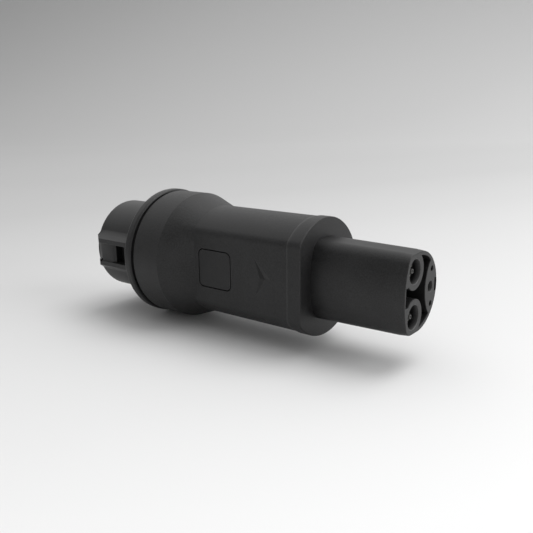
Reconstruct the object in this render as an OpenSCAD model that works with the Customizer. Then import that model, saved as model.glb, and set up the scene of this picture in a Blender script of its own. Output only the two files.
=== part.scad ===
// Straight charging adapter for an electric vehicle.
// A round inlet socket with a latch block is at the low X end and the plug nose at the high X end.
// X runs along the axis from the socket's mouth, and Z points to the flat side with the button.

/* [Inlet socket] */
// Outer diameter of the socket barrel
barrel_d = 51; // [50:0.1:52]
// Inner diameter of the cup that takes the charging plug
cup_d = 44; // [43.4:0.1:44.6]
// Length of the barrel in front of the flange
barrel_len = 35.8; // [35:0.1:38]
// How far the cup's floor lies in front of the flange
floor_set = 1.8; // [1.4:0.1:3]
// Thickness of the cup's floor
floor_t = 6; // [5.5:0.1:7]
// How far the flange stands out past the grip
flange_lip = 0.8; // [0.6:0.1:1.6]
// Thickness of the flange
flange_t = 4; // [3.6:0.1:5]
// Rounding of the flange's rim
flange_round = 1.2; // [0.6:0.1:1.6]
// Width of the ledge between the spigot and the grip's outside
ledge_w = 8.05; // [7.85:0.05:8.45]
// Length of the spigot behind the flange
spigot_len = 7; // [6.8:0.1:9]

/* [Latch block] */
// Height of the block's top above the socket's axis
latch_top = 28.6; // [28:0.1:30]
// Width of the block at its top
latch_w = 15.4; // [14.8:0.1:17]
// Width of the block at its foot
latch_foot_w = 20.4; // [19:0.1:22]
// Width of the channel along the block
channel_w = 10.4; // [9:0.1:11.5]
// Depth of the channel below the block's top
channel_depth = 1; // [0.6:0.1:1.4]
// Length of the ramp at the front of the block
latch_ramp = 5.6; // [4.5:0.1:7]
// Distance from the mouth to the catch pocket
pocket_start = 18.4; // [17:0.1:20]
// Length of the catch pocket
pocket_len = 9.6; // [8.5:0.1:11]
// Height of the catch pocket's floor above the socket's axis
pocket_floor = 23.4; // [23:0.1:24.4]

/* [Inlet pins] */
// Diameter of the two power pins
power_pin_d = 3.6; // [3.2:0.1:4]
// Diameter of the ground pin
ground_pin_d = 2.8; // [2.4:0.1:3.2]
// Diameter of the two signal pins
signal_pin_d = 1.5; // [1.4:0.1:2]
// Distance from the axis to each power pin across the socket
power_pin_y = 7.9; // [7.4:0.1:8.2]
// Height of the power pins above the axis
power_pin_z = 6.8; // [6.4:0.1:7.2]
// Distance of the ground pin below the axis
ground_pin_drop = 10.6; // [10.2:0.1:11]
// Distance from the axis to each signal pin across the socket
signal_pin_y = 10.6; // [10.2:0.1:11]
// Distance of the signal pins below the axis
signal_pin_drop = 5.6; // [5.2:0.1:6]
// How far the power pins' tips sit inside the mouth
power_tip = 11; // [9:0.5:14]
// How far the ground pin's tip sits inside the mouth
ground_tip = 9; // [7:0.5:12]
// How far the signal pins' tips sit inside the mouth
signal_tip = 14; // [12:0.5:18]

/* [Grip] */
// Outer diameter of the round front of the grip
grip_d = 68.7; // [68:0.1:70]
// Length of the round front of the grip
grip_len = 18.9; // [17:0.1:21]
// Length of the taper from the round front to the body
taper_len = 14.9; // [13:0.1:17]
// Outer diameter of the body
body_d = 57.5; // [57:0.1:59]
// Height of the body's flat side above the axis
body_flat = 21.4; // [21:0.1:22]
// Length of the body
body_len = 58.8; // [57:0.1:62]
// Rounding between the flat side and the round one
flat_round = 5; // [3:0.5:7]
// Wall thickness of the grip
wall = 3; // [2.6:0.1:3.2]

/* [Collar] */
// Length of the collar over the body's end
collar_len = 7.8; // [7.4:0.1:9]
// How far the collar stands proud of the body
collar_lip = 0.45; // [0.2:0.05:0.8]
// Thickness of the collar's end wall
collar_wall = 2.8; // [2.4:0.1:3]
// Width of the visible seam between the body and the collar
seam_gap = 0.3; // [0.2:0.05:0.5]

/* [Plug nose] */
// Length of the nose in front of the collar
nose_len = 47.5; // [46:0.1:50]
// Radius of the nose's round lower side at its tip
nose_r = 18.4; // [18.2:0.1:18.8]
// Distance from the axis down to the centre of that lower side
nose_drop = 1.9; // [1.7:0.1:2.1]
// Height of the nose's top above the axis at its tip
nose_top = 12.5; // [12.2:0.1:12.8]
// Radius of the nose's gently arched top
nose_top_r = 45; // [40:1:60]
// Rounding of the nose's upper corners
nose_corner_r = 5.5; // [5:0.1:6]
// How far the upper corners sit inside the nose's greatest width
nose_corner_in = 0.15; // [0.05:0.05:0.6]
// How far the upper corners start below the nose's top
nose_corner_drop = 2.3; // [1.8:0.1:2.8]
// Half of the width over which the nose's top is arched
nose_arch_w = 10.5; // [9.5:0.1:11]
// Width of the keyway in the nose's lower wall
keyway_w = 6.6; // [6:0.1:7.2]
// Length of the keyway
keyway_len = 12; // [10:0.5:16]
// Depth of the keyway
keyway_depth = 1.9; // [1.5:0.1:2.2]
// How much the nose grows on each side towards its root
nose_draft = 1.2; // [0.9:0.1:1.4]
// How much the nose narrows on each side at its tip
nose_lead = 0.45; // [0.2:0.05:0.6]
// Length of the narrowed stretch at the tip
nose_lead_len = 4.7; // [4:0.1:6]
// Depth of the recess between the contacts
recess_depth = 38; // [30:1:40]
// Thickness of the nose's side walls at the recess
nose_wall = 1.8; // [1.5:0.1:2.2]
// Radius of the arched top of the block that holds the ground and signal contacts
block_r = 18.7; // [18.2:0.1:19.2]
// Distance from the axis down to the top of that block
block_drop = 7.8; // [7.6:0.1:8.4]

/* [Plug contacts] */
// Distance from the axis to each power contact across the nose
power_y = 10.4; // [10.2:0.1:10.6]
// Height of the power contacts above the axis
power_z = 3; // [2.8:0.1:3.2]
// Distance of the ground contact below the axis
ground_drop = 13.5; // [13.4:0.1:13.8]
// Distance from the axis to each signal contact across the nose
signal_y = 8.3; // [8.1:0.1:8.6]
// Distance of the signal contacts below the axis
signal_drop = 14.4; // [14.2:0.1:14.6]
// Outer diameter of the towers around the power contacts
tower_d = 16.7; // [16.5:0.1:17]
// Diameter of the power contacts' holes at the tip
power_hole_d = 11.2; // [10.8:0.1:11.4]
// Outer diameter of the power contacts
power_contact_d = 12.9; // [12.5:0.1:13]
// Inner diameter of the power contacts
power_bore_d = 10.2; // [9.8:0.1:10.4]
// Depth of the bore in the power contacts
power_bore_len = 32; // [28:1:34]
// Diameter of the ground contact's hole at the tip
ground_hole_d = 5.3; // [5.2:0.1:5.6]
// Outer diameter of the ground contact
ground_contact_d = 7; // [6.8:0.1:7.2]
// Inner diameter of the ground contact
ground_bore_d = 5; // [4.8:0.1:5.1]
// Diameter of the signal contacts' holes at the tip
signal_hole_d = 2.6; // [2.5:0.1:2.8]
// Outer diameter of the signal contacts
signal_contact_d = 4; // [3.8:0.1:4.2]
// Inner diameter of the signal contacts
signal_bore_d = 2.4; // [2.2:0.1:2.4]
// Depth of the bore in the ground and signal contacts
small_bore_len = 26; // [22:1:30]
// Diameter of the insulating posts inside the power contacts
guard_d = 3.6; // [3.2:0.1:4]

/* [Button] */
// Length of the button's opening along the grip
button_len = 21.8; // [21:0.1:23]
// Width of the button's opening across the grip
button_w = 20.2; // [19:0.1:21]
// Corner radius of the button's opening
button_round = 3.2; // [2.5:0.1:4]
// Distance from the start of the body to the middle of the button
button_place = 13.4; // [13:0.1:15]
// Gap all round the button
button_gap = 0.45; // [0.3:0.05:0.6]
// How far the button travels when it is pressed
button_travel = 0.8; // [0.5:0.1:1]

/* [Arrow] */
// Distance from the middle of the button to the arrow's tip
arrow_place = 36.2; // [34:0.1:38]
// Distance between the arrow's two ends
arrow_w = 19.5; // [16:0.5:21]
// Length of the arrow along the grip
arrow_len = 10.1; // [8:0.1:11]
// Thickness of the arrow at its tip
arrow_t = 6.8; // [5.5:0.1:7.4]
// Distance from the arrow's tip to the deepest point of its groove
arrow_valley = 3.6; // [3:0.1:4.2]
// Depth of the arrow's groove
arrow_depth = 0.6; // [0.4:0.1:0.8]

/* [Hidden] */

// Facets of round things and of the outlines that are stretched or blended
round_fn = 96;
small_fn = 48;
outline_fn = 72;

// Clearances, and the small lap that makes joined solids overlap
slide_gap = 0.1;
seat_gap = 0.2;
lap = 0.05;

// Thin gaskets, seen as dark lines between the mouldings
flange_gasket_t = 0.7;
nose_gasket_t = 0.5;

// The small edge at the collar's end
collar_edge = 0.5;

// Stations along the axis
x_flange = barrel_len;
cup_depth = barrel_len - floor_set;
x_gasket = x_flange + flange_t;
x_grip = x_gasket + flange_gasket_t;
x_taper = x_grip + grip_len;
x_body = x_taper + taper_len;
x_seam = x_body + body_len;
x_base = x_seam + nose_gasket_t;
x_face = x_seam + collar_len;
x_tip = x_face + nose_len;
x_spigot = x_gasket + spigot_len;

// Radii taken from the diameters
barrel_r = barrel_d / 2;
cup_r = cup_d / 2;
grip_r = grip_d / 2;
flange_r = grip_r + flange_lip;
body_r = body_d / 2;
spigot_r = grip_r - ledge_w;

// Places across the axis, as [y, z]
power_pin_at = [power_pin_y, power_pin_z];
neutral_pin_at = [-power_pin_y, power_pin_z];
ground_pin_at = [0, -ground_pin_drop];
pilot_pin_at = [signal_pin_y, -signal_pin_drop];
proximity_pin_at = [-signal_pin_y, -signal_pin_drop];
line_at = [power_y, power_z];
neutral_at = [-power_y, power_z];
ground_at = [0, -ground_drop];
pilot_at = [signal_y, -signal_drop];
proximity_at = [-signal_y, -signal_drop];

// The mouth's edge, and the latch block's start, channel and notch
mouth_edge = 0.8;
latch_set = 0.8;
channel_lead = 0.4;
channel_step = [2, 1.2];
notch = [2.4, 2, 3];
notch_set = [1.4, 0.8, 1.4];

// Pin carrier behind the cup's floor, and the pins' collars and tails
carrier_r = 20;
carrier_t = 6;
pin_collar_t = 2;
pin_collar_extra = 3;
pin_tail_extra = 1.4;
pin_shank_extra = 0.8;
x_floor = cup_depth + floor_t;
x_carrier = x_floor + carrier_t;
lug_set = 5;
x_lug = x_spigot + lug_set;
lug_t = 3;
lug_rim = 2;
rivet_rise = 0.6;

// Screws
screw_d = 3;
screw_head_d = 5.6;
screw_head_t = 1.8;
small_screw_d = 2.2;
small_head_d = 4;
small_head_t = 1.6;
drive_w = 0.7;
carrier_screw_r = 16.6;
carrier_screw_len = 9.8;
board_screw_len = 7;
retainer_bite = 6;
end_gap = 0.2;
flange_screw_r = (spigot_r + grip_r) / 2 - 0.2;
flange_screw_len = 14;
flange_boss_r = 3.4;
flange_boss_len = 13;

// Board and button mechanism, hung below the flat wall
x_button = x_body + button_place;
inner_flat = body_flat - wall;
button_rim = 1.2;
button_skin = 1.8;
button_side = 1.6;
rim_gap = 0.3;
cap_z = inner_flat - rim_gap - button_rim;
board_set = 11.4;
board_z = body_flat - board_set;
board_t = 1.6;
board_len = 26;
resistor = [5, 2.4, 1.1];
resistor_at = [6.5, 6];
lead_d = 1.2;
lead_in = 3;
lead_y = 5.2;
lead_knee_z = -8;
lead_rise = 0.25;
post_r = 2.5;
post_clear = 0.7;
board_edge = 2.7;
board_end = 3.5;
post_x = board_len / 2 - board_end;
post_y = button_w / 2 + button_rim + post_clear + post_r;
board_w = 2 * (post_y + board_edge);
switch_w = 6;
switch_t = 3.6;
stem_d = 3.4;
stem_t = 1;
spring_r = 5.1;
spring_wire = 0.8;
spring_turns = 5;
spring_steps = 14;
spring_sides = 6;

// Conductors, their crimped tails, the retainer and the nose's base
power_rod_d = 6;
ground_rod_d = 5;
signal_rod_d = 2.4;
crimp_wall = 1.4;
crimp_len = 10;
contact_collar_t = 2;
contact_collar_extra = 2;
retainer_t = 3;
retainer_w = 38;
retainer_top = power_z + power_contact_d / 2 + contact_collar_extra;
retainer_low = -18.5;
base_t = 3;
base_inset = 1.4;
x_collar_back = x_base - contact_collar_t;
x_retainer = x_collar_back - retainer_t;
x_crimp = x_retainer - crimp_len;
spacer_back = 20.8;
spacer_t = 4;
lip_len = 4.3;
small_lip_len = 3;
guard_set = 2;
guard_peg_d = 3;
guard_peg_len = 5;
guard_peg_gap = 0.3;
guard_nose_len = 3;
guard_nose_in = 0.6;
dimple_rim = 0.5;
dimple_depth = 0.8;
slit_w = 0.7;
slit_len = 18;
slot_w = 9;
slot_skin = 1.2;

// Screws of the retainer and of the nose's base
nose_screw_set = [1.1, 4.15];
retainer_screws_at = [[0, 8.5], [14.5, -7.5], [-14.5, -7.5]];
nose_screw_y = 14;
nose_screws_at = [[nose_screw_y, inner_flat - nose_screw_set[0]],
    [-nose_screw_y, inner_flat - nose_screw_set[0]],
    [0, -body_r + nose_screw_set[1]]];
nose_boss_r = 2.9;
nose_boss_len = 14;
nose_screw_len = 12;
nose_head_d = 4.6;
nose_head_t = 1.3;

// An arc as points, from one angle to another
function arc(centre, r, from, to, steps = 6) =
    [for (i = [0:steps]) centre + r * [cos(from + (to - from) * i / steps),
        sin(from + (to - from) * i / steps)]];

// Stretches a [y, z] outline along X
module along(from, to) {
    translate([from, 0, 0]) rotate([90, 0, 90]) linear_extrude(to - from) children();
}

// Turns a [radius, x] outline about the X axis
module turned(fn = round_fn) {
    rotate([0, 90, 0]) rotate_extrude($fn = fn) children();
}

// Moves what follows to a place across the axis
module place(at) {
    translate([0, at[0], at[1]]) children();
}

// A round bar along X at a place across the axis
module bar(at, from, to, d, fn = small_fn) {
    place(at) translate([from, 0, 0]) rotate([0, 90, 0]) cylinder(d = d, h = to - from, $fn = fn);
}

// A pan head and shank along X, with the head's flat back at the seat and a cross recess in the head
module screw(at, seat, way, len, d, head_d, head_t) {
    place(at) translate([seat, 0, 0]) rotate([0, way * 90, 0]) difference() {
        union() {
            cylinder(d = head_d, h = head_t, $fn = small_fn);
            translate([0, 0, -len]) cylinder(d = d, h = len + lap, $fn = small_fn);
        }
        for (turn = [0, 90])
            rotate([0, 0, turn]) translate([-head_d * 0.3, -drive_w / 2, head_t * 0.4])
                cube([head_d * 0.6, drive_w, head_t]);
    }
}

// A flat rounded rectangle in [x, y]
module rounded(len, w, r) {
    hull() for (sx = [-1, 1], sy = [-1, 1])
        translate([sx * (len / 2 - r), sy * (w / 2 - r)]) circle(r = r, $fn = 32);
}

// The grip's section: a circle cut by the flat side, in [y, z]
module d_outline(r, flat, corner) {
    offset(r = corner, $fn = outline_fn) offset(delta = -corner) intersection() {
        circle(r = r, $fn = 120);
        translate([-2 * r, -2 * r]) square([4 * r, 2 * r + flat]);
    }
}

// The plug nose's outline at its tip, in [y, z]
module nose_outline(grow = 0) {
    offset(r = grow, $fn = outline_fn) hull() {
        translate([0, -nose_drop]) intersection() {
            circle(r = nose_r, $fn = outline_fn);
            translate([-2 * nose_r, -2 * nose_r]) square([4 * nose_r, 2 * nose_r + nose_drop]);
        }
        for (side = [-1, 1])
            translate([side * (nose_r - nose_corner_r - nose_corner_in),
                nose_top - nose_corner_r - nose_corner_drop])
                circle(r = nose_corner_r, $fn = small_fn);
        intersection() {
            translate([0, nose_top - nose_top_r]) circle(r = nose_top_r, $fn = 180);
            translate([-nose_arch_w, 0]) square([2 * nose_arch_w, 2 * nose_top]);
        }
    }
}

// The round front, taper and body of the grip, set in by a wall
module grip_form(inset, past = 0) {
    r = grip_r - inset;
    outline_r = body_r - inset;
    corner = max(flat_round - inset, 1);
    bar([0, 0], x_grip - past, x_taper, 2 * r, round_fn);
    hull() {
        along(x_taper - 1, x_taper) circle(r = r - 0.02, $fn = round_fn);
        along(x_body - lap, x_body) d_outline(outline_r, body_flat - inset, corner);
    }
    along(x_body - lap, x_seam + past) d_outline(outline_r, body_flat - inset, corner);
}

// Angles of the four screws through the flange
function flange_screw_at(i) = flange_screw_r * [cos(45 + 90 * i), sin(45 + 90 * i)];

// Places of the three screws in the pin carrier
function carrier_screw_at(i) = carrier_screw_r * [cos(90 + 120 * i), sin(90 + 120 * i)];

module socket_cup() {
    color("#35363a") difference() {
        union() {
            turned() polygon(concat(
                [[cup_r + mouth_edge, 0]],
                [[barrel_r - mouth_edge, 0], [barrel_r, mouth_edge], [barrel_r, x_flange]],
                arc([flange_r - flange_round, x_flange + flange_round], flange_round, -90, 0),
                arc([flange_r - flange_round, x_gasket - flange_round], flange_round, 0, 90),
                [[spigot_r, x_gasket], [spigot_r, x_spigot], [carrier_r + seat_gap, x_spigot],
                [carrier_r + seat_gap, x_floor], [0, x_floor], [0, cup_depth],
                [cup_r, cup_depth], [cup_r, mouth_edge]]));
            latch_block();
        }
        latch_channel();
        for (p = pin_list())
            bar(p[0], cup_depth - 1, x_floor + 1, p[1] + pin_shank_extra + 2 * slide_gap);
        for (i = [0:2])
            bar(carrier_screw_at(i), x_carrier - carrier_screw_len - end_gap, x_floor + 1, small_screw_d);
        for (i = [0:3])
            bar(flange_screw_at(i), x_flange - 1, x_gasket + 1, screw_d + 2 * seat_gap);
        for (i = [0:3])
            bar(flange_screw_at(i), x_flange - 1, x_flange + screw_head_t, screw_head_d + 2 * seat_gap);
    }
}

// The five inlet pins: place, diameter of the tip and depth of the tip below the mouth
function pin_list() = [[power_pin_at, power_pin_d, power_tip], [neutral_pin_at, power_pin_d, power_tip],
    [ground_pin_at, ground_pin_d, ground_tip], [pilot_pin_at, signal_pin_d, signal_tip],
    [proximity_pin_at, signal_pin_d, signal_tip]];

// The block that the charging plug's latch hooks over, with its front ramp
module latch_block() {
    foot_z = sqrt(pow(barrel_r, 2) - pow(latch_foot_w / 2, 2)) - 0.3;
    intersection() {
        along(lap, x_flange + 1) polygon([[-latch_foot_w / 2, foot_z], [latch_foot_w / 2, foot_z],
            [latch_w / 2, latch_top], [-latch_w / 2, latch_top]]);
        translate([0, latch_foot_w, 0]) rotate([90, 0, 0]) linear_extrude(2 * latch_foot_w)
            polygon([[latch_set, 0], [latch_set, barrel_r], [latch_set + latch_ramp, latch_top + 1],
                [x_flange + 0.5, latch_top + 1], [x_flange + 0.5, 0]]);
    }
}

// The shallow channel in the block, the catch pocket behind it and the small notch at its front
module latch_channel() {
    floor_z = latch_top - channel_depth;
    translate([0, channel_w / 2, 0]) rotate([90, 0, 0]) linear_extrude(channel_w)
        polygon([[-1, barrel_r - channel_lead], [latch_set, barrel_r - channel_lead],
            [latch_set + latch_ramp, floor_z], [pocket_start - channel_step[0], floor_z],
            [pocket_start, floor_z - channel_step[1]], [pocket_start, pocket_floor],
            [pocket_start + pocket_len, pocket_floor], [pocket_start + pocket_len, latch_top + 1],
            [-1, latch_top + 1]]);
    translate([latch_ramp - notch_set[0], -channel_w / 2 - notch_set[1], floor_z - notch_set[2]])
        cube(notch);
}

// Seats the pins' collars against the back of the cup's floor
module pin_carrier() {
    color("#26272a") difference() {
        bar([0, 0], x_floor, x_carrier, 2 * carrier_r, round_fn);
        for (p = pin_list()) {
            bar(p[0], x_floor - 1, x_floor + pin_collar_t, p[1] + pin_collar_extra + 2 * slide_gap);
            bar(p[0], x_floor, x_carrier + 1, p[1] + pin_tail_extra + 2 * slide_gap);
        }
        for (i = [0:2])
            bar(carrier_screw_at(i), x_floor - 1, x_carrier + 1, small_screw_d + seat_gap);
    }
}

// A turned pin with a rounded tip, a collar and a tail that is riveted through its lug
module inlet_pin(p) {
    tip = p[2];
    r = p[1] / 2;
    collar_r = r + pin_collar_extra / 2;
    tail_r = r + pin_tail_extra / 2;
    shank_r = r + pin_shank_extra / 2;
    color("#c9ccd0") place(p[0]) turned(small_fn) polygon(concat(
        [[0, tip]], arc([r - r * 0.7, tip + r * 0.7], r * 0.7, -90, 0, 4),
        [[r, cup_depth], [shank_r, cup_depth], [shank_r, x_floor],
        [collar_r, x_floor], [collar_r, x_floor + pin_collar_t],
        [tail_r, x_floor + pin_collar_t], [tail_r, x_lug + lug_t + rivet_rise],
        [0, x_lug + lug_t + rivet_rise]]));
}

module line_pin() inlet_pin(pin_list()[0]);
module neutral_pin() inlet_pin(pin_list()[1]);
module ground_pin() inlet_pin(pin_list()[2]);
module pilot_pin() inlet_pin(pin_list()[3]);
module proximity_pin() inlet_pin(pin_list()[4]);

module carrier_screws() {
    color("#b6b9bd") for (i = [0:2])
        screw(carrier_screw_at(i), x_carrier, 1, carrier_screw_len, small_screw_d - 0.1,
            small_head_d, small_head_t);
}

// The thin gasket between the flange and the grip, seen as a dark line
module flange_gasket() {
    color("#101011") difference() {
        bar([0, 0], x_gasket, x_grip, 2 * (grip_r - 1), round_fn);
        bar([0, 0], x_gasket - 1, x_grip + 1, 2 * (spigot_r + seat_gap), round_fn);
        for (i = [0:3])
            bar(flange_screw_at(i), x_gasket - 1, x_grip + 1, screw_d + 2 * seat_gap);
    }
}

module flange_screws() {
    color("#b6b9bd") for (i = [0:3])
        screw(flange_screw_at(i), x_flange + screw_head_t, -1, flange_screw_len, screw_d - 0.1,
            screw_head_d, screw_head_t - 0.2);
}

// The arrow's groove: four flat facets that fall to a valley between its two ends
module arrow_groove() {
    outline = [[0, 0], [-arrow_len, arrow_w / 2], [-arrow_t, 0], [-arrow_len, -arrow_w / 2]];
    points = concat([for (p = outline) [p[0], p[1], 0]], [for (p = outline) [p[0], p[1], 1]],
        [[-arrow_valley, 0, -arrow_depth]]);
    sides = [for (i = [0:3]) [i, i + 4, (i + 1) % 4 + 4, (i + 1) % 4]];
    facets = [for (i = [0:3]) [i, (i + 1) % 4, 8]];
    polyhedron(points = points, faces = concat([[7, 6, 5, 4]], sides, facets), convexity = 4);
}

module grip_shell() {
    color("#3a3b3f") difference() {
        union() {
            difference() {
                grip_form(0);
                grip_form(wall, 1);
            }
            for (i = [0:3])
                bar(flange_screw_at(i), x_grip, x_grip + flange_boss_len, 2 * flange_boss_r);
            for (at = nose_screws_at)
                bar(at, x_seam - nose_boss_len, x_seam, 2 * nose_boss_r);
            for (sx = [-1, 1], sy = [-1, 1])
                translate([x_button + sx * post_x, sy * post_y, board_z])
                    cylinder(r = post_r, h = body_flat - 1 - board_z, $fn = small_fn);
        }
        for (i = [0:3])
            bar(flange_screw_at(i), x_grip - 1, x_grip + flange_screw_len - 2, screw_d);
        for (at = nose_screws_at)
            bar(at, x_seam - nose_screw_len + 1, x_seam + 1, screw_d);
        for (sx = [-1, 1], sy = [-1, 1])
            translate([x_button + sx * post_x, sy * post_y, board_z - 1])
                cylinder(d = small_screw_d, h = board_screw_len + 1, $fn = small_fn);
        translate([x_button, 0, inner_flat - 1]) linear_extrude(wall + 2)
            rounded(button_len, button_w, button_round);
        translate([x_button + arrow_place, 0, body_flat]) arrow_groove();
    }
}

// The flush push button, with a rim inside that keeps it in its opening
module button_cap() {
    len = button_len - 2 * button_gap;
    w = button_w - 2 * button_gap;
    ceiling = body_flat - button_skin;
    color("#3d3e42") translate([x_button, 0, 0]) {
        difference() {
            union() {
                translate([0, 0, cap_z]) linear_extrude(body_flat - cap_z)
                    rounded(len, w, button_round - button_gap);
                translate([0, 0, cap_z]) linear_extrude(button_rim)
                    rounded(button_len + 2 * button_rim, button_w + 2 * button_rim,
                        button_round + button_rim);
            }
            translate([0, 0, cap_z - 1]) linear_extrude(ceiling - cap_z + 1)
                rounded(len - 2 * button_side, w - 2 * button_side, 1.6);
        }
        plunger_z = board_z + switch_t + stem_t + button_travel + slide_gap;
        translate([0, 0, plunger_z]) cylinder(d = stem_d, h = ceiling - plunger_z + lap, $fn = small_fn);
    }
}

// The return spring, a round wire swept along a helix
function spring_point(i) =
    let (turn = 360 * i / spring_steps,
        low = board_z + spring_wire / 2,
        high = body_flat - button_skin - spring_wire / 2 - slide_gap / 2,
        total = spring_turns * spring_steps)
    [spring_r * cos(turn), spring_r * sin(turn), low + (high - low) * i / total];

module button_spring() {
    rings = spring_turns * spring_steps;
    points = [for (i = [0:rings], k = [0:spring_sides - 1])
        let (turn = 360 * i / spring_steps, a = 360 * k / spring_sides)
        spring_point(i) + spring_wire / 2 * [cos(a) * cos(turn), cos(a) * sin(turn), sin(a)]];
    sides = [for (i = [0:rings - 1], k = [0:spring_sides - 1])
        let (n = (k + 1) % spring_sides, a = i * spring_sides, b = a + spring_sides)
        [a + k, a + n, b + n, b + k]];
    first = [for (k = [0:spring_sides - 1]) spring_sides - 1 - k];
    last = [for (k = [0:spring_sides - 1]) rings * spring_sides + k];
    color("#c2c5c9") translate([x_button, 0, 0])
        polyhedron(points = points, faces = concat([first, last], sides), convexity = 6);
}

module button_switch() {
    color("#1b1b1d") translate([x_button, 0, board_z]) {
        translate([-switch_w / 2, -switch_w / 2, 0]) cube([switch_w, switch_w, switch_t]);
        translate([0, 0, switch_t - lap]) cylinder(d = stem_d, h = stem_t + lap, $fn = small_fn);
    }
}

module circuit_board() {
    color("#1f4a33") difference() {
        translate([x_button - board_len / 2, -board_w / 2, board_z - board_t])
            cube([board_len, board_w, board_t]);
        for (sx = [-1, 1], sy = [-1, 1])
            translate([x_button + sx * post_x, sy * post_y, board_z - board_t - 1])
                cylinder(d = small_screw_d + seat_gap, h = board_t + 2, $fn = small_fn);
    }
}

module board_screws() {
    color("#b6b9bd") for (sx = [-1, 1], sy = [-1, 1])
        translate([x_button + sx * post_x, sy * post_y, 0]) rotate([0, 90, 0])
            screw([0, 0], board_t - board_z, 1, board_screw_len, small_screw_d - 0.1, small_head_d,
                small_head_t);
}

// The two resistors that the proximity circuit switches between
module board_resistors() {
    color("#2b2b2e") for (side = [-1, 1])
        translate([x_button + resistor_at[0], side * resistor_at[1] - resistor[1] / 2, board_z])
            cube(resistor);
}

// A straight round lead between two points
module lead(from, to, d) {
    run = to - from;
    translate(from) rotate([0, acos(run[2] / norm(run)), atan2(run[1], run[0])])
        cylinder(d = d, h = norm(run), $fn = 24);
}

// Two leads from the board down to the ground and proximity conductors
module switch_leads() {
    lead_x = x_button + board_len / 2 - lead_in;
    top_z = board_z - board_t;
    knee = [lead_x, -lead_y, lead_knee_z];
    color("#b4683c") {
        lead([lead_x, 0, -ground_drop + ground_rod_d / 2], [lead_x, 0, top_z], lead_d);
        lead(knee, [lead_x, -lead_y, top_z], lead_d);
        lead([lead_x, -signal_y, -signal_drop + signal_rod_d / 2 + lead_rise], knee, lead_d);
        translate(knee) sphere(d = lead_d * 1.1, $fn = 24);
    }
}

// A lug that takes the pin's tail, and the rod that runs from it into the contact's crimp
module conductor(pin, to, rod_d) {
    tail_d = pin[1] + pin_tail_extra;
    difference() {
        union() {
            along(x_lug, x_lug + lug_t) hull() {
                translate(pin[0]) circle(d = tail_d + lug_rim, $fn = 32);
                translate(to) circle(d = rod_d, $fn = 32);
            }
            bar(to, x_lug + lug_t - lap, x_crimp + crimp_len - 1, rod_d - 0.04);
        }
        bar(pin[0], x_lug - 1, x_lug + lug_t + 1, tail_d + slide_gap);
    }
}

module line_conductor() color("#b4683c") conductor(pin_list()[0], line_at, power_rod_d);
module neutral_conductor() color("#b4683c") conductor(pin_list()[1], neutral_at, power_rod_d);
module ground_conductor() color("#b4683c") conductor(pin_list()[2], ground_at, ground_rod_d);
module pilot_conductor() color("#b4683c") conductor(pin_list()[3], pilot_at, signal_rod_d);
module proximity_conductor() color("#b4683c") conductor(pin_list()[4], proximity_at, signal_rod_d);

// The five plug contacts: place, outer diameter, bore, rod diameter and how far the front is set back
function contact_list() = [[line_at, power_contact_d, power_bore_d, power_rod_d, lip_len],
    [neutral_at, power_contact_d, power_bore_d, power_rod_d, lip_len],
    [ground_at, ground_contact_d, ground_bore_d, ground_rod_d, small_lip_len],
    [pilot_at, signal_contact_d, signal_bore_d, signal_rod_d, small_lip_len],
    [proximity_at, signal_contact_d, signal_bore_d, signal_rod_d, small_lip_len]];

// A plate inside the body that keeps the conductors apart
module conductor_spacer() {
    color("#26272a") difference() {
        along(x_seam - spacer_back, x_seam - spacer_back + spacer_t)
            d_outline(body_r - wall - seat_gap, inner_flat - seat_gap, flat_round - wall);
        for (c = contact_list())
            bar(c[0], x_body, x_seam, c[3] + 2 * slide_gap);
    }
}

// A turned contact: crimp, collar against the nose's base, body and open front
module plug_contact(c, bore_len) {
    r = c[1] / 2;
    bore_r = c[2] / 2;
    crimp_r = c[3] / 2 + crimp_wall;
    rod_r = c[3] / 2 + slide_gap / 2;
    front = x_tip - c[4] - slide_gap;
    color("#c9ccd0") place(c[0]) turned(small_fn) polygon([
        [rod_r, x_crimp], [crimp_r, x_crimp], [crimp_r, x_collar_back],
        [r + contact_collar_extra / 2, x_collar_back], [r + contact_collar_extra / 2, x_base],
        [r, x_base], [r, front - 0.4], [r - 0.4, front], [bore_r + 0.4, front],
        [bore_r, front - 0.4], [bore_r, front - bore_len], [0, front - bore_len],
        [0, x_crimp + crimp_len], [rod_r, x_crimp + crimp_len]]);
}

// The power contacts also have slits, and a hole in the bore's floor for the insulating post
module power_contact(c) {
    front = x_tip - lip_len;
    color("#c9ccd0") difference() {
        plug_contact(c, power_bore_len);
        bar(c[0], front - power_bore_len - guard_peg_len, front - power_bore_len + 1,
            guard_peg_d + slide_gap);
        for (turn = [0, 45, 90, 135])
            place(c[0]) rotate([turn, 0, 0])
                translate([front - slit_len, -slit_w / 2, -c[1]]) cube([slit_len + 1, slit_w, 2 * c[1]]);
    }
}

module line_contact() power_contact(contact_list()[0]);
module neutral_contact() power_contact(contact_list()[1]);
module ground_contact() plug_contact(contact_list()[2], small_bore_len);
module pilot_contact() plug_contact(contact_list()[3], small_bore_len);
module proximity_contact() plug_contact(contact_list()[4], small_bore_len);

// The insulating post in a power contact, with a dimple in its narrowed tip
module guard(at) {
    foot = x_tip - lip_len - power_bore_len - slide_gap;
    tip = x_tip - guard_set;
    r = guard_d / 2;
    color("#d9d9d6") place(at) turned(small_fn) polygon([
        [0, foot - guard_peg_len + guard_peg_gap],
        [guard_peg_d / 2, foot - guard_peg_len + guard_peg_gap],
        [guard_peg_d / 2, foot], [r, foot], [r, tip - guard_nose_len], [r - guard_nose_in, tip],
        [r - guard_nose_in - dimple_rim, tip],
        [r - guard_nose_in - dimple_rim, tip - dimple_depth], [0, tip - dimple_depth]]);
}

module line_guard() guard(line_at);
module neutral_guard() guard(neutral_at);

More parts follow.
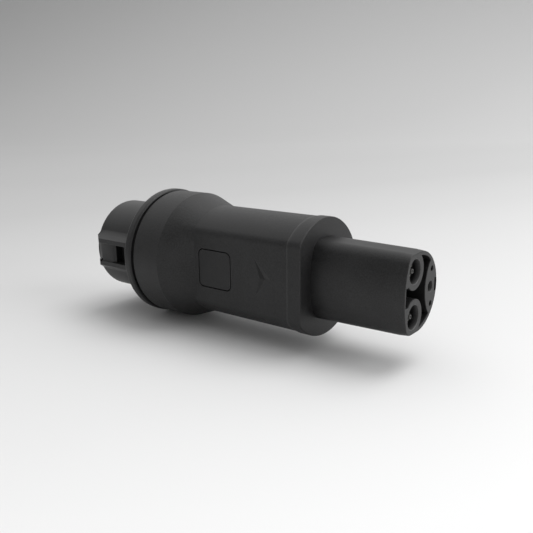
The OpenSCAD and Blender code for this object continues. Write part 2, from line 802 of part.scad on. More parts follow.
// The open space between the towers and the contact block, in [y, z]
module recess_outline() {
    difference() {
        union() {
            intersection() {
                nose_outline(-nose_wall);
                translate([-nose_r, -2 * nose_r]) square([2 * nose_r, 2 * nose_r + power_z]);
            }
            translate([-slot_w / 2, 0]) square([slot_w, nose_top - slot_skin]);
        }
        for (at = [line_at, neutral_at])
            translate(at) circle(d = tower_d, $fn = 64);
        translate([0, -block_drop - block_r]) circle(r = block_r, $fn = 128);
    }
}

// The nose moulding: base plate, tapered nose, towers, recess, contact holes and keyway
module plug_nose() {
    base_r = body_r - base_inset;
    color("#313236") difference() {
        union() {
            along(x_base, x_base + base_t)
                d_outline(base_r, body_flat - base_inset, flat_round - base_inset);
            hull() {
                along(x_base + 1, x_face) nose_outline(nose_draft);
                along(x_tip - nose_lead_len - lap, x_tip - nose_lead_len) nose_outline(nose_lead);
                along(x_tip - lap, x_tip) nose_outline(0);
            }
        }
        along(x_tip - recess_depth, x_tip + 1) recess_outline();
        for (c = contact_list())
            bar(c[0], x_base - 1, x_tip - c[4], c[1] + 2 * slide_gap);
        for (at = [line_at, neutral_at])
            bar(at, x_tip - lip_len - 1, x_tip + 1, power_hole_d);
        bar(ground_at, x_tip - small_lip_len - 1, x_tip + 1, ground_hole_d);
        for (at = [pilot_at, proximity_at])
            bar(at, x_tip - small_lip_len - 1, x_tip + 1, signal_hole_d);
        for (at = retainer_screws_at)
            bar(at, x_base - 1, x_base + retainer_bite + end_gap, small_screw_d);
        for (at = nose_screws_at)
            bar(at, x_base - 1, x_base + base_t + 1, screw_d + seat_gap);
        translate([x_tip - keyway_len, -keyway_w / 2, -nose_drop - nose_r - 2])
            cube([keyway_len + 1, keyway_w, keyway_depth + 2]);
    }
}

// Holds the contacts' collars against the back of the nose's base
module contact_retainer() {
    color("#26272a") difference() {
        along(x_retainer, x_collar_back) intersection() {
            translate([-retainer_w / 2, retainer_low]) square([retainer_w, retainer_top - retainer_low]);
            circle(r = body_r - wall - seat_gap, $fn = round_fn);
        }
        for (c = contact_list())
            bar(c[0], x_retainer - 1, x_collar_back + 1, c[3] + 2 * crimp_wall + 2 * slide_gap);
        for (at = retainer_screws_at)
            bar(at, x_retainer - 1, x_collar_back + 1, small_screw_d + seat_gap);
    }
}

module retainer_screws() {
    color("#b6b9bd") for (at = retainer_screws_at)
        screw(at, x_retainer, -1, contact_collar_t + retainer_t + retainer_bite, small_screw_d - 0.1,
            small_head_d, small_head_t);
}

module nose_gasket() {
    color("#101011") difference() {
        along(x_seam, x_base)
            d_outline(body_r - base_inset, body_flat - base_inset, flat_round - base_inset);
        along(x_seam - 1, x_base + 1)
            d_outline(body_r - wall, body_flat - wall, flat_round - wall);
        for (at = nose_screws_at)
            bar(at, x_seam - 1, x_base + 1, screw_d + seat_gap);
    }
}

module nose_screws() {
    color("#b6b9bd") for (at = nose_screws_at)
        screw(at, x_base + base_t, 1, nose_screw_len + base_t - 1, screw_d - 0.1,
            nose_head_d, nose_head_t);
}

// The collar that covers the nose's base and closes the grip's end
module collar_cap() {
    r = body_r + collar_lip;
    flat = body_flat + collar_lip;
    color("#35363a") difference() {
        hull() {
            along(x_seam + seam_gap, x_seam + 1) d_outline(body_r, body_flat, flat_round);
            along(x_seam + 2, x_face - collar_edge) d_outline(r, flat, flat_round);
            along(x_face - collar_edge, x_face)
                d_outline(r - collar_edge, flat - collar_edge, flat_round);
        }
        along(x_seam - 1, x_face - collar_wall)
            d_outline(body_r - base_inset + slide_gap, body_flat - base_inset + slide_gap,
                flat_round - base_inset + slide_gap);
        along(x_seam, x_face + 1) nose_outline(nose_draft + slide_gap);
    }
}

socket_cup();
pin_carrier();
line_pin();
neutral_pin();
ground_pin();
pilot_pin();
proximity_pin();
carrier_screws();
flange_gasket();
flange_screws();
grip_shell();
button_cap();
button_spring();
button_switch();
circuit_board();
board_screws();
board_resistors();
switch_leads();
line_conductor();
neutral_conductor();
ground_conductor();
pilot_conductor();
proximity_conductor();
conductor_spacer();
plug_nose();
line_contact();
neutral_contact();
ground_contact();
pilot_contact();
proximity_contact();
line_guard();
neutral_guard();
contact_retainer();
retainer_screws();
nose_gasket();
nose_screws();
collar_cap();
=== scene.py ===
# Looks of a charging adapter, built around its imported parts
# Sizes in the dictionaries are millimetres, and the scene itself is in metres
import bpy
import math
from mathutils import Matrix, Vector


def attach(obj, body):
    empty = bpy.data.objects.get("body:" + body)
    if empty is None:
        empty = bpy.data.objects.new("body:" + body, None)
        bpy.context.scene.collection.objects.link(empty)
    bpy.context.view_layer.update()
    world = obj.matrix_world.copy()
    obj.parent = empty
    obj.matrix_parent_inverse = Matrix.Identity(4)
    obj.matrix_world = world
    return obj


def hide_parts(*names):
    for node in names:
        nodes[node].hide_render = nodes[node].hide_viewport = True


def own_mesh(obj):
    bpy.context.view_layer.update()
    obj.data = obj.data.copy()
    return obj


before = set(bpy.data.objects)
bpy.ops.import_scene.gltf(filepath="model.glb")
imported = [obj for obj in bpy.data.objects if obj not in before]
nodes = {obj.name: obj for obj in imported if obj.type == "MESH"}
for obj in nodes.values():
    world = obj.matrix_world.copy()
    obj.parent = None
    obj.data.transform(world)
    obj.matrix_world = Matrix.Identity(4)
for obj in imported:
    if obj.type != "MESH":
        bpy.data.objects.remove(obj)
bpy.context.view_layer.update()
print("frame loaded, with", len(nodes), "nodes")

mm = 0.001
ringCount = 300  # points round every outline that is stretched along the adapter
clear = 1  # how far a cutter stands out of what it cuts, or a solid reaches into another
mergeGap = 0.001  # points closer than this become one
creaseAngle = 32  # degrees between two faces that make their edge sharp
# steps round each round shape, and round a plate's corner
turnSteps = {"corner": 8, "bore": 32, "plunger": 32, "guard": 40, "hole": 48, "contact": 64,
             "tower": 96, "socket": 144, "block": 160}

# where each part of the adapter starts, along the axis from the socket's mouth; the button's
# number is its middle
stations = {
    "cupFloor": 34, "flange": 34.4, "gasket": 39.2, "floorBack": 40, "grip": 41.1,
    "spigot": 46.8, "taper": 59.4, "body": 74.3, "button": 87.7, "seam": 133.1, "base": 133.6,
    "face": 140.9, "tip": 188.4}


# selects only these objects, with the last one active
def pick(*pieces):
    if bpy.context.object and bpy.context.object.mode != "OBJECT":
        bpy.ops.object.mode_set(mode="OBJECT")
    bpy.ops.object.select_all(action="DESELECT")
    for piece in pieces:
        piece.select_set(True)
    if pieces:
        bpy.context.view_layer.objects.active = pieces[-1]


# puts the outline's points on the vertices that start at first
def placeRing(piece, first, station, points, axis):
    for vertex, (a, b) in zip(piece.data.vertices[first:first + len(points)], points):
        spot = (station, a, b) if axis == "X" else (a, b, station)
        vertex.co = Vector(spot) * mm


# selects the rings with these numbers in an edit mesh
def selectRings(piece, count, *numbers):
    for part in (piece.data.vertices, piece.data.edges, piece.data.polygons):
        part.foreach_set("select", [False] * len(part))
    for number in numbers:
        for vertex in piece.data.vertices[number * count:(number + 1) * count]:
            vertex.select = True


# a skin over rings, each a station and an outline, closed on itself or capped at both ends
def loft(name, rings, axis="X", closed=False):
    pick()
    count = len(rings[0][1])
    bpy.ops.mesh.primitive_circle_add(vertices=count, radius=mm)
    piece = bpy.context.object
    piece.name = piece.data.name = name
    placeRing(piece, 0, *rings[0], axis)
    for number, ring in enumerate(rings[1:], 1):
        bpy.ops.object.mode_set(mode="EDIT")
        bpy.ops.mesh.extrude_edges_move()
        bpy.ops.object.mode_set(mode="OBJECT")
        placeRing(piece, number * count, *ring, axis)
    for ends in ([(0, len(rings) - 1)] if closed else [(0,), (len(rings) - 1,)]):
        selectRings(piece, count, *ends)
        bpy.ops.object.mode_set(mode="EDIT")
        if closed:
            bpy.ops.mesh.bridge_edge_loops()
        else:
            bpy.ops.mesh.edge_face_add()
        bpy.ops.object.mode_set(mode="OBJECT")
    return cleaned(piece)


# merges doubles and turns every face outwards
def cleaned(piece):
    pick(piece)
    bpy.ops.object.mode_set(mode="EDIT")
    bpy.ops.mesh.select_all(action="SELECT")
    bpy.ops.mesh.remove_doubles(threshold=mergeGap * mm)
    bpy.ops.mesh.dissolve_degenerate(threshold=mergeGap / 2 * mm)
    bpy.ops.mesh.normals_make_consistent(inside=False)
    bpy.ops.object.mode_set(mode="OBJECT")
    return piece


# spins a closed profile of station and radius round a line along the adapter
def turn(name, profile, at=(0, 0), steps=turnSteps["socket"]):
    pick()
    bpy.ops.mesh.primitive_circle_add(vertices=len(profile), radius=mm)
    piece = bpy.context.object
    piece.name = piece.data.name = name
    for vertex, (station, radius) in zip(piece.data.vertices, profile):
        vertex.co = Vector((station, at[0], at[1] + radius)) * mm
    bpy.ops.object.mode_set(mode="EDIT")
    bpy.ops.mesh.select_all(action="SELECT")
    bpy.ops.mesh.spin(steps=steps, angle=2 * math.pi, center=(0, at[0] * mm, at[1] * mm),
                      axis=(1, 0, 0))
    bpy.ops.object.mode_set(mode="OBJECT")
    return cleaned(piece)


# quarter circle as steps of (forward, sideways), from straight ahead to fully turned
def quarter(radius, steps=4):
    turns = [math.pi / 2 * i / steps for i in range(steps + 1)]
    return [(radius * math.sin(t), radius * (1 - math.cos(t))) for t in turns]


# a profile's rounded end as stations and sizes; the size shrinks (out is -1) or grows (1)
def softEnd(end, size, edge, out=-1, steps=4):
    return [(end - edge + ahead, size + out * aside) for ahead, aside in quarter(edge, steps)]


# the same at a profile's start
def softStart(start, size, edge, out=-1):
    return [(start + edge - ahead, size + out * aside) for ahead, aside in quarter(edge)][::-1]


# places at even angles round the axis
def around(count, radius, first):
    angles = [math.radians(first + 360 / count * number) for number in range(count)]
    return [(radius * math.cos(angle), radius * math.sin(angle)) for angle in angles]


# joins separate shells into one object, for one cut
def together(*parts):
    pick(*parts)
    bpy.ops.object.join()
    return bpy.context.object


# cuts one solid out of another, or joins the two
def combine(piece, other, operation="DIFFERENCE"):
    pick(piece)
    modifier = piece.modifiers.new("combine", "BOOLEAN")
    modifier.object = other
    modifier.operation = operation
    modifier.solver = "EXACT"
    bpy.ops.object.modifier_apply(modifier=modifier.name)
    bpy.data.objects.remove(other)
    return piece


# smooth shading with sharp edges where faces meet at a crease, or inside a box
def shaded(piece, creases):
    cleaned(piece)
    pick(piece)
    bpy.ops.object.shade_smooth_by_angle(angle=math.radians(creaseAngle))
    if creases:
        low, high = (Vector(corner) * mm for corner in creases)
        inside = [all(low[i] < v.co[i] < high[i] for i in range(3)) for v in piece.data.vertices]
        for edge in piece.data.edges:
            if all(inside[number] for number in edge.vertices):
                edge.use_edge_sharp = True
    modifier = piece.modifiers.new("even", "WEIGHTED_NORMAL")
    modifier.keep_sharp = True
    bpy.ops.object.modifier_apply(modifier=modifier.name)


# gives a finished piece its material and body, and hides the parts that it stands for
def finish(piece, material, body, slot, *replaced, creases=None):
    shaded(piece, creases)
    piece.data.materials.clear()
    piece.data.materials.append(material)
    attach(piece, body)
    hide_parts(*replaced)
    print(piece.name, "made, with", len(piece.data.polygons), "faces")


# points along an arc given as centre, radius and its two angles, a little over a degree apart
def arcPoints(y, z, radius, start, end, steps=None):
    steps = steps or max(8, round(abs(end - start) * ringCount / 360))
    angles = [math.radians(start + (end - start) * i / steps) for i in range(steps + 1)]
    return [(y + radius * math.cos(a), z + radius * math.sin(a)) for a in angles]


# the tight band round points, counterclockwise
def band(points):
    def half(row):
        chain = []
        for p in row:
            while len(chain) > 1:
                a, b = chain[-2], chain[-1]
                if (b[0] - a[0]) * (p[1] - a[1]) - (b[1] - a[1]) * (p[0] - a[0]) > 1e-9:
                    break
                chain.pop()
            chain.append(p)
        return chain[:-1]
    row = sorted(set((round(y, 5), round(z, 5)) for y, z in points))
    return half(row) + half(row[::-1])


# the band round arcs, grown on all sides, as points at even angles about the axis
def outline(arcs, grow=0):
    loop = band([p for y, z, r, start, end in arcs for p in arcPoints(y, z, r + grow, start, end)])
    angles = [math.atan2(z, y) for y, z in loop]
    first = angles.index(min(angles))
    loop, angles = loop[first:] + loop[:first], angles[first:] + angles[:first]
    loop.append(loop[0])
    angles.append(angles[0] + 2 * math.pi)
    points, i = [], 0
    for number in range(ringCount):
        angle = -math.pi + 2 * math.pi * number / ringCount
        if angle < angles[0]:
            angle += 2 * math.pi
            pair = len(loop) - 2
        else:
            while angles[i + 1] < angle:
                i += 1
            pair = i
        (y0, z0), (y1, z1) = loop[pair], loop[pair + 1]
        dy, dz = math.cos(angle), math.sin(angle)
        share = (y0 * dz - z0 * dy) / ((y0 - y1) * dz - (z0 - z1) * dy)
        points.append((y0 + (y1 - y0) * share, z0 + (z1 - z0) * share))
    return points


# rings of one section, each at its station and grown by its own amount
def sectionRings(section, spots):
    return [(x, outline(section, grow)) for x, grow in spots]


# the body's section: a circle with a flat top and rounded corners
def bodyArcs(radius, flat, corner):
    middle = math.sqrt((radius - corner) ** 2 - (flat - corner) ** 2)
    lean = math.degrees(math.atan2(flat - corner, middle))
    return [(0, 0, radius, 180 - lean, 360 + lean), (middle, flat - corner, corner, lean, 90),
            (-middle, flat - corner, corner, 90, 180 - lean)]


# a section part of the way from a circle to the body's
def taperArcs(arcs, radius, share):
    return [(y * share, z * share, r * share + radius * (1 - share), start, end)
            for y, z, r, start, end in arcs]


def circleArcs(radius):
    return [(0, 0, radius, 0, 360)]


# a ring round the button's middle at a height: a rounded rectangle, grown on all sides
def plateRing(size, height, grow):
    length, width, radius = size
    long, wide = length / 2 - radius, width / 2 - radius
    points = []
    for number, (sx, sy) in enumerate([(1, 1), (-1, 1), (-1, -1), (1, -1)]):
        points += arcPoints(stations["button"] + sx * long, sy * wide, radius + grow,
                            90 * number, 90 * number + 90, turnSteps["corner"])
    return height, points


# a rectangle across the adapter, as a ring
def acrossRing(x, side, low, high):
    return x, [(-side, low), (side, low), (side, high), (-side, high)]


# a plain round hole
def bore(at, radius, start, end):
    return turn("bore", [(start, 0), (start, radius), (end, radius), (end, 0)], at,
                turnSteps["bore"])


# a hole that opens towards the socket's mouth with a rounded lip, from its profile inside
def lippedHole(at, inside, mouth, lip):
    radius = inside[-1][1]
    return turn("hole", inside + softStart(mouth, radius, lip, 1)[::-1]
                + [(mouth - clear, radius + lip), (mouth - clear, 0)], at, turnSteps["hole"])


# Shader values used as numbers: an expression adds its Math nodes
class Link:
    def __init__(self, finish, socket):
        self.finish, self.socket = finish, socket

    def math(self, operation, first, second):
        return self.finish.node("ShaderNodeMath", {"operation": operation}, {0: first, 1: second})

    def __add__(self, other):
        return self.math("ADD", self, other)

    def __sub__(self, other):
        return self.math("SUBTRACT", self, other)

    def __rsub__(self, other):
        return self.math("SUBTRACT", other, self)

    def __mul__(self, other):
        return self.math("MULTIPLY", self, other)

    def __abs__(self):
        return self.math("ABSOLUTE", self, 0.0)

    __radd__, __rmul__ = __add__, __mul__


class Finish:
    def __init__(self, name, **constants):
        self.material = bpy.data.materials.new(name)
        self.material.use_nodes = True
        self.tree = self.material.node_tree
        self.surface = self.tree.nodes["Principled BSDF"]
        for key, value in constants.items():
            self.surface.inputs[key.replace("_", " ")].default_value = value
        self.place = self.node("ShaderNodeTexCoord", {}, {}, "Object")

    # any node: its settings first, then the values or links of its sockets
    def node(self, kind, settings, sockets, out=0):
        made = self.tree.nodes.new(kind)
        for key, value in settings.items():
            if key == "stops":
                ramp = made.color_ramp
                while len(ramp.elements) < len(value):
                    ramp.elements.new(0.5)
                for element, (position, colour) in zip(ramp.elements, value):
                    element.position, element.color = position, colour
            else:
                setattr(made, key, value)
        for key, value in sockets.items():
            if isinstance(value, Link):
                self.tree.links.new(value.socket, made.inputs[key])
            else:
                made.inputs[key].default_value = value
        return Link(self, made.outputs[out])

    # one coordinate of the place on the adapter, in metres
    def axis(self, name):
        return self.node("ShaderNodeSeparateXYZ", {}, {"Vector": self.place}, name)

    def noise(self, size, detail=2, roughness=0.5):
        return self.node("ShaderNodeTexNoise", {}, {
            "Vector": self.place, "Scale": 1 / (size * mm), "Detail": detail,
            "Roughness": roughness})

    # a value from 0 to 1 spread between two colours, by the node's colour sockets
    def mix(self, amount, first, second):
        first, second = (c if isinstance(c, Link) else (*c, 1) for c in (first, second))
        return self.node("ShaderNodeMix", {"data_type": "RGBA"},
                         {0: amount, 6: first, 7: second}, 2)

    # part of the way to an even grey
    def toned(self, amount, colour, grey):
        return self.mix(amount, colour, (grey, grey, grey))

    # 0 below the low value and 1 above the high one
    def step(self, value, low, high):
        return self.node("ShaderNodeMapRange", {"clamp": True}, {
            "Value": value, "From Min": low, "From Max": high})

    # the same, with both given in millimetres
    def rise(self, value, low, high):
        return self.step(value, low * mm, high * mm)

    # 1 between two values in millimetres, fading out over the fade on both sides
    def between(self, value, low, high, fade):
        return self.rise(value, low - fade, low) * (1 - self.rise(value, high, high + fade))

    # 1 along edges, where a normal averaged over the width leaves the surface's own
    def edges(self, width, least, most):
        soft = self.node("ShaderNodeBevel", {"samples": 6}, {"Radius": width * mm})
        own = self.node("ShaderNodeNewGeometry", {}, {}, "Normal")
        same = self.node("ShaderNodeVectorMath", {"operation": "DOT_PRODUCT"},
                         {0: soft, 1: own}, "Value")
        return self.step(1 - same, least, most)

    def feed(self, **links):
        for key, link in links.items():
            self.tree.links.new(link.socket, self.surface.inputs[key.replace("_", " ")])
        return self.material

    def bump(self, height, strength, distance):
        return self.node("ShaderNodeBump", {}, {
            "Strength": strength, "Distance": distance * mm, "Height": height})


# Painted shade and a rougher finish on the arrow's notch facets, most on the upper arm; painted
# highlight on the rest
def paintedArrowFacets(made):
    x, y, z = map(made.axis, "XYZ")
    tip, valley, near, flat = arrow["tip"], arrow["valley"], arrow["near"], grip["flat"]
    back, wide = arrow["corners"][1]
    floor = flat - arrow["depth"]
    inside = (made.between(x, tip + back, tip, near) * made.between(y, -wide, wide, near)
              * made.rise(z, floor - near, floor)
              * (1 - made.rise(z, flat - near, flat - near / 2)))
    line = x - (tip + valley) * mm + abs(y) * ((valley - back) / wide)
    notchSide = inside * (1 - made.rise(line, -near, near))
    upper, lower = arrow["shadeAndMatt"]
    shadeAndMatt = notchSide * (made.rise(y, -near, near) * (upper - lower) + lower)
    return shadeAndMatt, (inside - notchSide) * arrow["paintedHighlight"]


# Painted shade deep in the latch block's pocket: 1 below its mouth
def pocketShade(made):
    x, y, z = map(made.axis, "XYZ")
    start, end, floor = socket["pocket"]
    near, side = pocketLook["near"], socket["channel"] / 2
    mouth = socket["latchTop"][1] - socket["channelDepth"] - pocketLook["below"]
    return (made.between(x, start, end, near) * made.between(y, -side, side, near)
            * made.rise(z, floor - near, floor)
            * (1 - made.rise(z, mouth - pocketLook["fade"], mouth)))


# Painted light on the walls of the power and ground holes, lightest at the mouth and fading with
# depth
def paintedHoleLight(made):
    x, y, z = map(made.axis, "XYZ")
    holeLights = 0.0
    for place, radius in paintedLight["holes"]:
        across, up = nose[place]
        aside, height = abs(y) - across * mm, z - up * mm
        far = aside * aside + height * height
        reach = (radius * mm) ** 2
        holeLights = (1 - made.step(far, reach, reach * paintedLight["holeFade"])) + holeLights
    tip = stations["tip"]
    return made.rise(x, tip - paintedLight["holeLightDepth"], tip) * holeLights


# Painted light on the plastic: edge highlights with a smoother finish, the seam's light line, lit
# hole walls
paintedLight = {"width": 0.6, "bend": (0.02, 0.15), "grain": (0.6, 0.8), "amount": 0.9, "tone": 0.05,
        "polish": 0.12, "seam": (133.05, 133.65, 0.1), "seamHighlight": 0.3, "holeLight": 0.11,
        "holeLightDepth": 3, "holes": [("powerAt", 5.8), ("groundAt", 2.8)], "holeFade": 1.02}
# the painted shade and rougher finish on the pocket's walls, and how far below its mouth that
# starts and over what it fades
pocketLook = {"below": 0.3, "fade": 0.4, "near": 0.02, "tone": 0.0005, "roughen": 0.35}
# how slow patches, grain and finer grain share in tone, gloss and relief
mould = {"rough": 0.6, "fine": 0.34, "slow": 14, "tone": (0.3, 0.7), "spread": (0.35, 0.65),
         "blue": (1.04, 1.03), "slowGloss": 0.1, "relief": (0.7, 0.3)}


# Black moulded plastic: fine spark-eroded grain, a slow change of gloss and faint tone, with
# painted highlights and a smoother finish along edges
def mouldedPlastic(name, look):
    made = Finish(name, IOR=1.5, Specular_IOR_Level=look["specular"])
    grain = made.noise(look["grain"], roughness=mould["rough"])
    fine = made.noise(look["grain"] * mould["fine"], detail=1)
    slow = made.noise(mould["slow"])
    slowShare, grainShare = mould["tone"]
    tone = made.step(slow * slowShare + grain * grainShare, *mould["spread"])
    dark, light = ((grey, grey, grey * blue)
                   for grey, blue in zip((look["dark"], look["light"]), mould["blue"]))
    colour = made.mix(tone, dark, light)
    roughness = (look["roughness"] + (slow - 0.5) * mould["slowGloss"]
                 + (grain - 0.5) * look["gloss"])
    # painted highlight along edges, broken by the grain, with a smoother finish there
    least, more = paintedLight["grain"]
    edgeSheenAndPolish = made.edges(paintedLight["width"], *paintedLight["bend"]) * (least + grain * more)
    colour = made.toned(edgeSheenAndPolish * paintedLight["amount"], colour, paintedLight["tone"])
    roughness = roughness - edgeSheenAndPolish * paintedLight["polish"]
    if name == "gripPlastic":
        # painted shade and a rougher finish on the arrow's notch facets, painted highlight on the
        # other facets
        shadeAndMatt, paintedHighlight = paintedArrowFacets(made)
        colour = made.toned(shadeAndMatt, colour, arrow["shadeAndMattTone"])
        colour = made.toned(paintedHighlight, colour, arrow["paintedHighlightTone"])
        roughness = roughness + shadeAndMatt * arrow["roughen"]
        # a painted highlight line along the seam
        seam = made.between(made.axis("X"), *paintedLight["seam"])
        colour = made.toned(seam * paintedLight["seamHighlight"], colour, paintedLight["tone"])
    if name == "socketPlastic":
        # painted shade in the latch block's pocket, with a rougher finish
        deep = pocketShade(made)
        colour = made.toned(deep, colour, pocketLook["tone"])
        roughness = roughness + deep * pocketLook["roughen"]
    if name == "nosePlastic":
        # painted light on the hole walls near the tip
        colour = made.toned(paintedHoleLight(made), colour, paintedLight["holeLight"])
    grainRelief, fineRelief = mould["relief"]
    relief = grain * grainRelief + fine * fineRelief
    return made.feed(Base_Color=colour, Roughness=roughness,
                     Normal=made.bump(relief, look["bump"], look["depth"]))


plastics = {
    "gripPlastic": {"dark": 0.0045, "light": 0.0195, "roughness": 0.5, "specular": 0.42,
                    "grain": 0.75, "gloss": 0.3, "bump": 1.0, "depth": 0.14},
    "socketPlastic": {"dark": 0.0055, "light": 0.0195, "roughness": 0.44, "specular": 0.42,
                      "grain": 0.6, "gloss": 0.1, "bump": 0.35, "depth": 0.03},
    "nosePlastic": {"dark": 0.0047, "light": 0.0188, "roughness": 0.48, "specular": 0.42,
                    "grain": 0.65, "gloss": 0.12, "bump": 0.45, "depth": 0.035},
    "buttonPlastic": {"dark": 0.0060, "light": 0.0180, "roughness": 0.52, "specular": 0.42,
                      "grain": 0.7, "gloss": 0.14, "bump": 0.55, "depth": 0.045},
    "innerPlastic": {"dark": 0.008, "light": 0.012, "roughness": 0.55, "specular": 0.4,
                     "grain": 0.8, "gloss": 0.1, "bump": 0.4, "depth": 0.04},
    "gasketRubber": {"dark": 0.003, "light": 0.005, "roughness": 0.85, "specular": 0.2,
                     "grain": 0.3, "gloss": 0.06, "bump": 0.5, "depth": 0.02}}


# Turned or drawn metal: rings left by the tool along the axis, and a little tarnish
turning = {"rough": 0.6, "tarnish": (0.35, 0.75), "roughen": 0.12, "depth": 0.01}


def turnedMetal(name, look):
    made = Finish(name, Metallic=1.0)
    rings = made.node("ShaderNodeTexNoise", {"noise_dimensions": "1D"}, {
        "W": made.axis("X"), "Scale": 1 / (look["ring"] * mm), "Detail": 2})
    patches = made.noise(look["patch"], detail=3, roughness=turning["rough"])
    tarnish = made.step(patches, *turning["tarnish"])
    return made.feed(
        Base_Color=made.mix(tarnish, look["bright"], look["dull"]),
        Roughness=look["roughness"] + rings * turning["roughen"] + tarnish * turning["roughen"],
        Normal=made.bump(rings, look["bump"], turning["depth"]))


metals = {
    "contactMetal": {"bright": (0.80, 0.80, 0.79), "dull": (0.58, 0.57, 0.54), "ring": 0.12,
                     "patch": 3, "roughness": 0.16, "bump": 0.3},
    # the contact sleeves get a darkened copy of the contact metal: painted shade for the inside of
    # the holes
    "shadedSleeveMetal": {"bright": (0.22, 0.22, 0.21), "dull": (0.13, 0.13, 0.12), "ring": 0.12,
                    "patch": 3, "roughness": 0.36, "bump": 0.3},
    "copperMetal": {"bright": (0.83, 0.42, 0.26), "dull": (0.50, 0.22, 0.13), "ring": 1.5,
                    "patch": 5, "roughness": 0.28, "bump": 0.15},
    "screwSteel": {"bright": (0.56, 0.57, 0.58), "dull": (0.34, 0.34, 0.35), "ring": 0.2,
                   "patch": 2, "roughness": 0.3, "bump": 0.25}}


# Grey insulating posts, with a faint mould grain
guardLook = {"dark": (0.06, 0.06, 0.058), "light": (0.09, 0.09, 0.086), "grain": 0.3, "slow": 2,
             "roughness": 0.34, "gloss": 0.1, "bump": 0.2, "depth": 0.01}


def guardFinish():
    made = Finish("guardPlastic", IOR=1.5, Specular_IOR_Level=0.5)
    grain = made.noise(guardLook["grain"])
    slow = made.noise(guardLook["slow"])
    return made.feed(
        Base_Color=made.mix(slow, guardLook["dark"], guardLook["light"]),
        Roughness=guardLook["roughness"] + (grain - 0.5) * guardLook["gloss"],
        Normal=made.bump(grain, guardLook["bump"], guardLook["depth"]))


# Circuit board: green lacquer over paler copper tracks that run along the board
boardLook = {"lacquer": (0.004, 0.035, 0.014), "track": (0.02, 0.11, 0.04), "lanes": 130,
             "wander": 1.2, "edge": (0.72, 0.8), "width": 0.00002, "weave": 0.4,
             "roughness": 0.26, "gloss": 0.12, "relief": 0.1, "bump": 0.3, "depth": 0.03}


def boardFinish():
    made = Finish("boardGreen", IOR=1.5, Specular_IOR_Level=0.5)
    across = made.axis("Y")
    lanes = made.node("ShaderNodeTexWave", {"wave_type": "BANDS", "bands_direction": "Y"}, {
        "Vector": made.place, "Scale": boardLook["lanes"], "Distortion": boardLook["wander"],
        "Detail": 1})
    tracks = (made.step(lanes, *boardLook["edge"])
              * made.step(across * across, 0.0, boardLook["width"]))
    weave = made.noise(boardLook["weave"], detail=1)
    return made.feed(
        Base_Color=made.mix(tracks, boardLook["lacquer"], boardLook["track"]),
        Roughness=boardLook["roughness"] + weave * boardLook["gloss"],
        Normal=made.bump(tracks + weave * boardLook["relief"], boardLook["bump"],
                         boardLook["depth"]))


# Grip: round front, taper, flat-topped body, button opening and arrow groove
grip = {
    "frontRadius": 34.35, "bodyRadius": 28.75, "flat": 21.4, "corner": 5, "wall": 3,
    "edge": 0.4, "seamEdge": 0.08, "crease": 0.2, "creaseDrop": 0.03, "taperShares": (0.35, 0.7),
    "opening": (21.8, 20.2, 3.2), "openingLip": 0.22}
# the arrow's outline from its tip, its valley, and the painted shade, rougher finish and painted
# highlight on its facets
arrow = {"tip": 123.9, "corners": [(0, 0), (-10.1, 9.75), (-6.8, 0), (-10.1, -9.75)],
         "valley": -4.2, "depth": 0.8, "near": 0.03, "shadeAndMatt": (0.4, 0.18), "shadeAndMattTone": 0.001,
         "paintedHighlight": 0.2, "paintedHighlightTone": 0.05, "roughen": 0.4}
bodySection = bodyArcs(grip["bodyRadius"], grip["flat"], grip["corner"])
innerSection = bodyArcs(grip["bodyRadius"] - grip["wall"], grip["flat"] - grip["wall"],
                        grip["corner"] - grip["wall"])


def taperRing(share):
    station = stations["taper"] + (stations["body"] - stations["taper"]) * share
    return station, outline(taperArcs(bodySection, grip["frontRadius"], share))


def makeGrip():
    front, wall, flat, crease = (grip[key] for key in ("frontRadius", "wall", "flat", "crease"))
    taper, body = stations["taper"], stations["body"]
    creaseShare = crease / (body - taper)
    rings = [(x, outline(circleArcs(radius)))
             for x, radius in softStart(stations["grip"], front, grip["edge"])]
    rings += [(taper - crease, outline(circleArcs(front))),
              (taper, outline(circleArcs(front - grip["creaseDrop"])))]
    rings += [taperRing(share) for share in (creaseShare, *grip["taperShares"], 1 - creaseShare)]
    rings += sectionRings(bodySection, [(body + crease, 0), (stations["button"], 0)]
                          + softEnd(stations["seam"], 0, grip["seamEdge"]))
    rings += [(stations["seam"], outline(innerSection)), (body, outline(innerSection)),
              (taper, outline(circleArcs(front - wall))),
              (stations["grip"], outline(circleArcs(front - wall)))]
    shell = loft("gripShell", rings, closed=True)
    lip = grip["openingLip"]
    heights = [(flat - wall - clear, 0)] + softEnd(flat, 0, lip, 1) + [(flat + clear, lip)]
    rings = [plateRing(grip["opening"], z, grow) for z, grow in heights]
    combine(shell, loft("opening", rings, "Z"))
    tip, near, floor = arrow["tip"], arrow["near"], flat - arrow["depth"]
    corners = [(tip + x, y) for x, y in arrow["corners"]]
    valley = [(tip + arrow["valley"], 0)] * len(corners)
    combine(shell, loft("arrow", [(floor, valley), (flat, corners), (flat + clear, corners)], "Z"))
    back, side = arrow["corners"][1]
    # every edge inside the arrow's box is sharp
    creases = ((tip + back - near, -side - near, floor - near),
               (tip + near, side + near, flat + near))
    finish(shell, finishes["gripPlastic"], "housing", "grip_plastic", "grip_shell",
           creases=creases)


# Button: a flush cap with a soft top edge, a skirt and the rim that keeps it in, past the gap
button = {"size": (20.9, 19.3, 2.75), "gap": 0.45, "rim": 1.2, "foot": 16.9, "ceiling": 19.6,
          "side": 1.6, "edge": 0.3, "plunger": (1.7, 15.5, 20)}


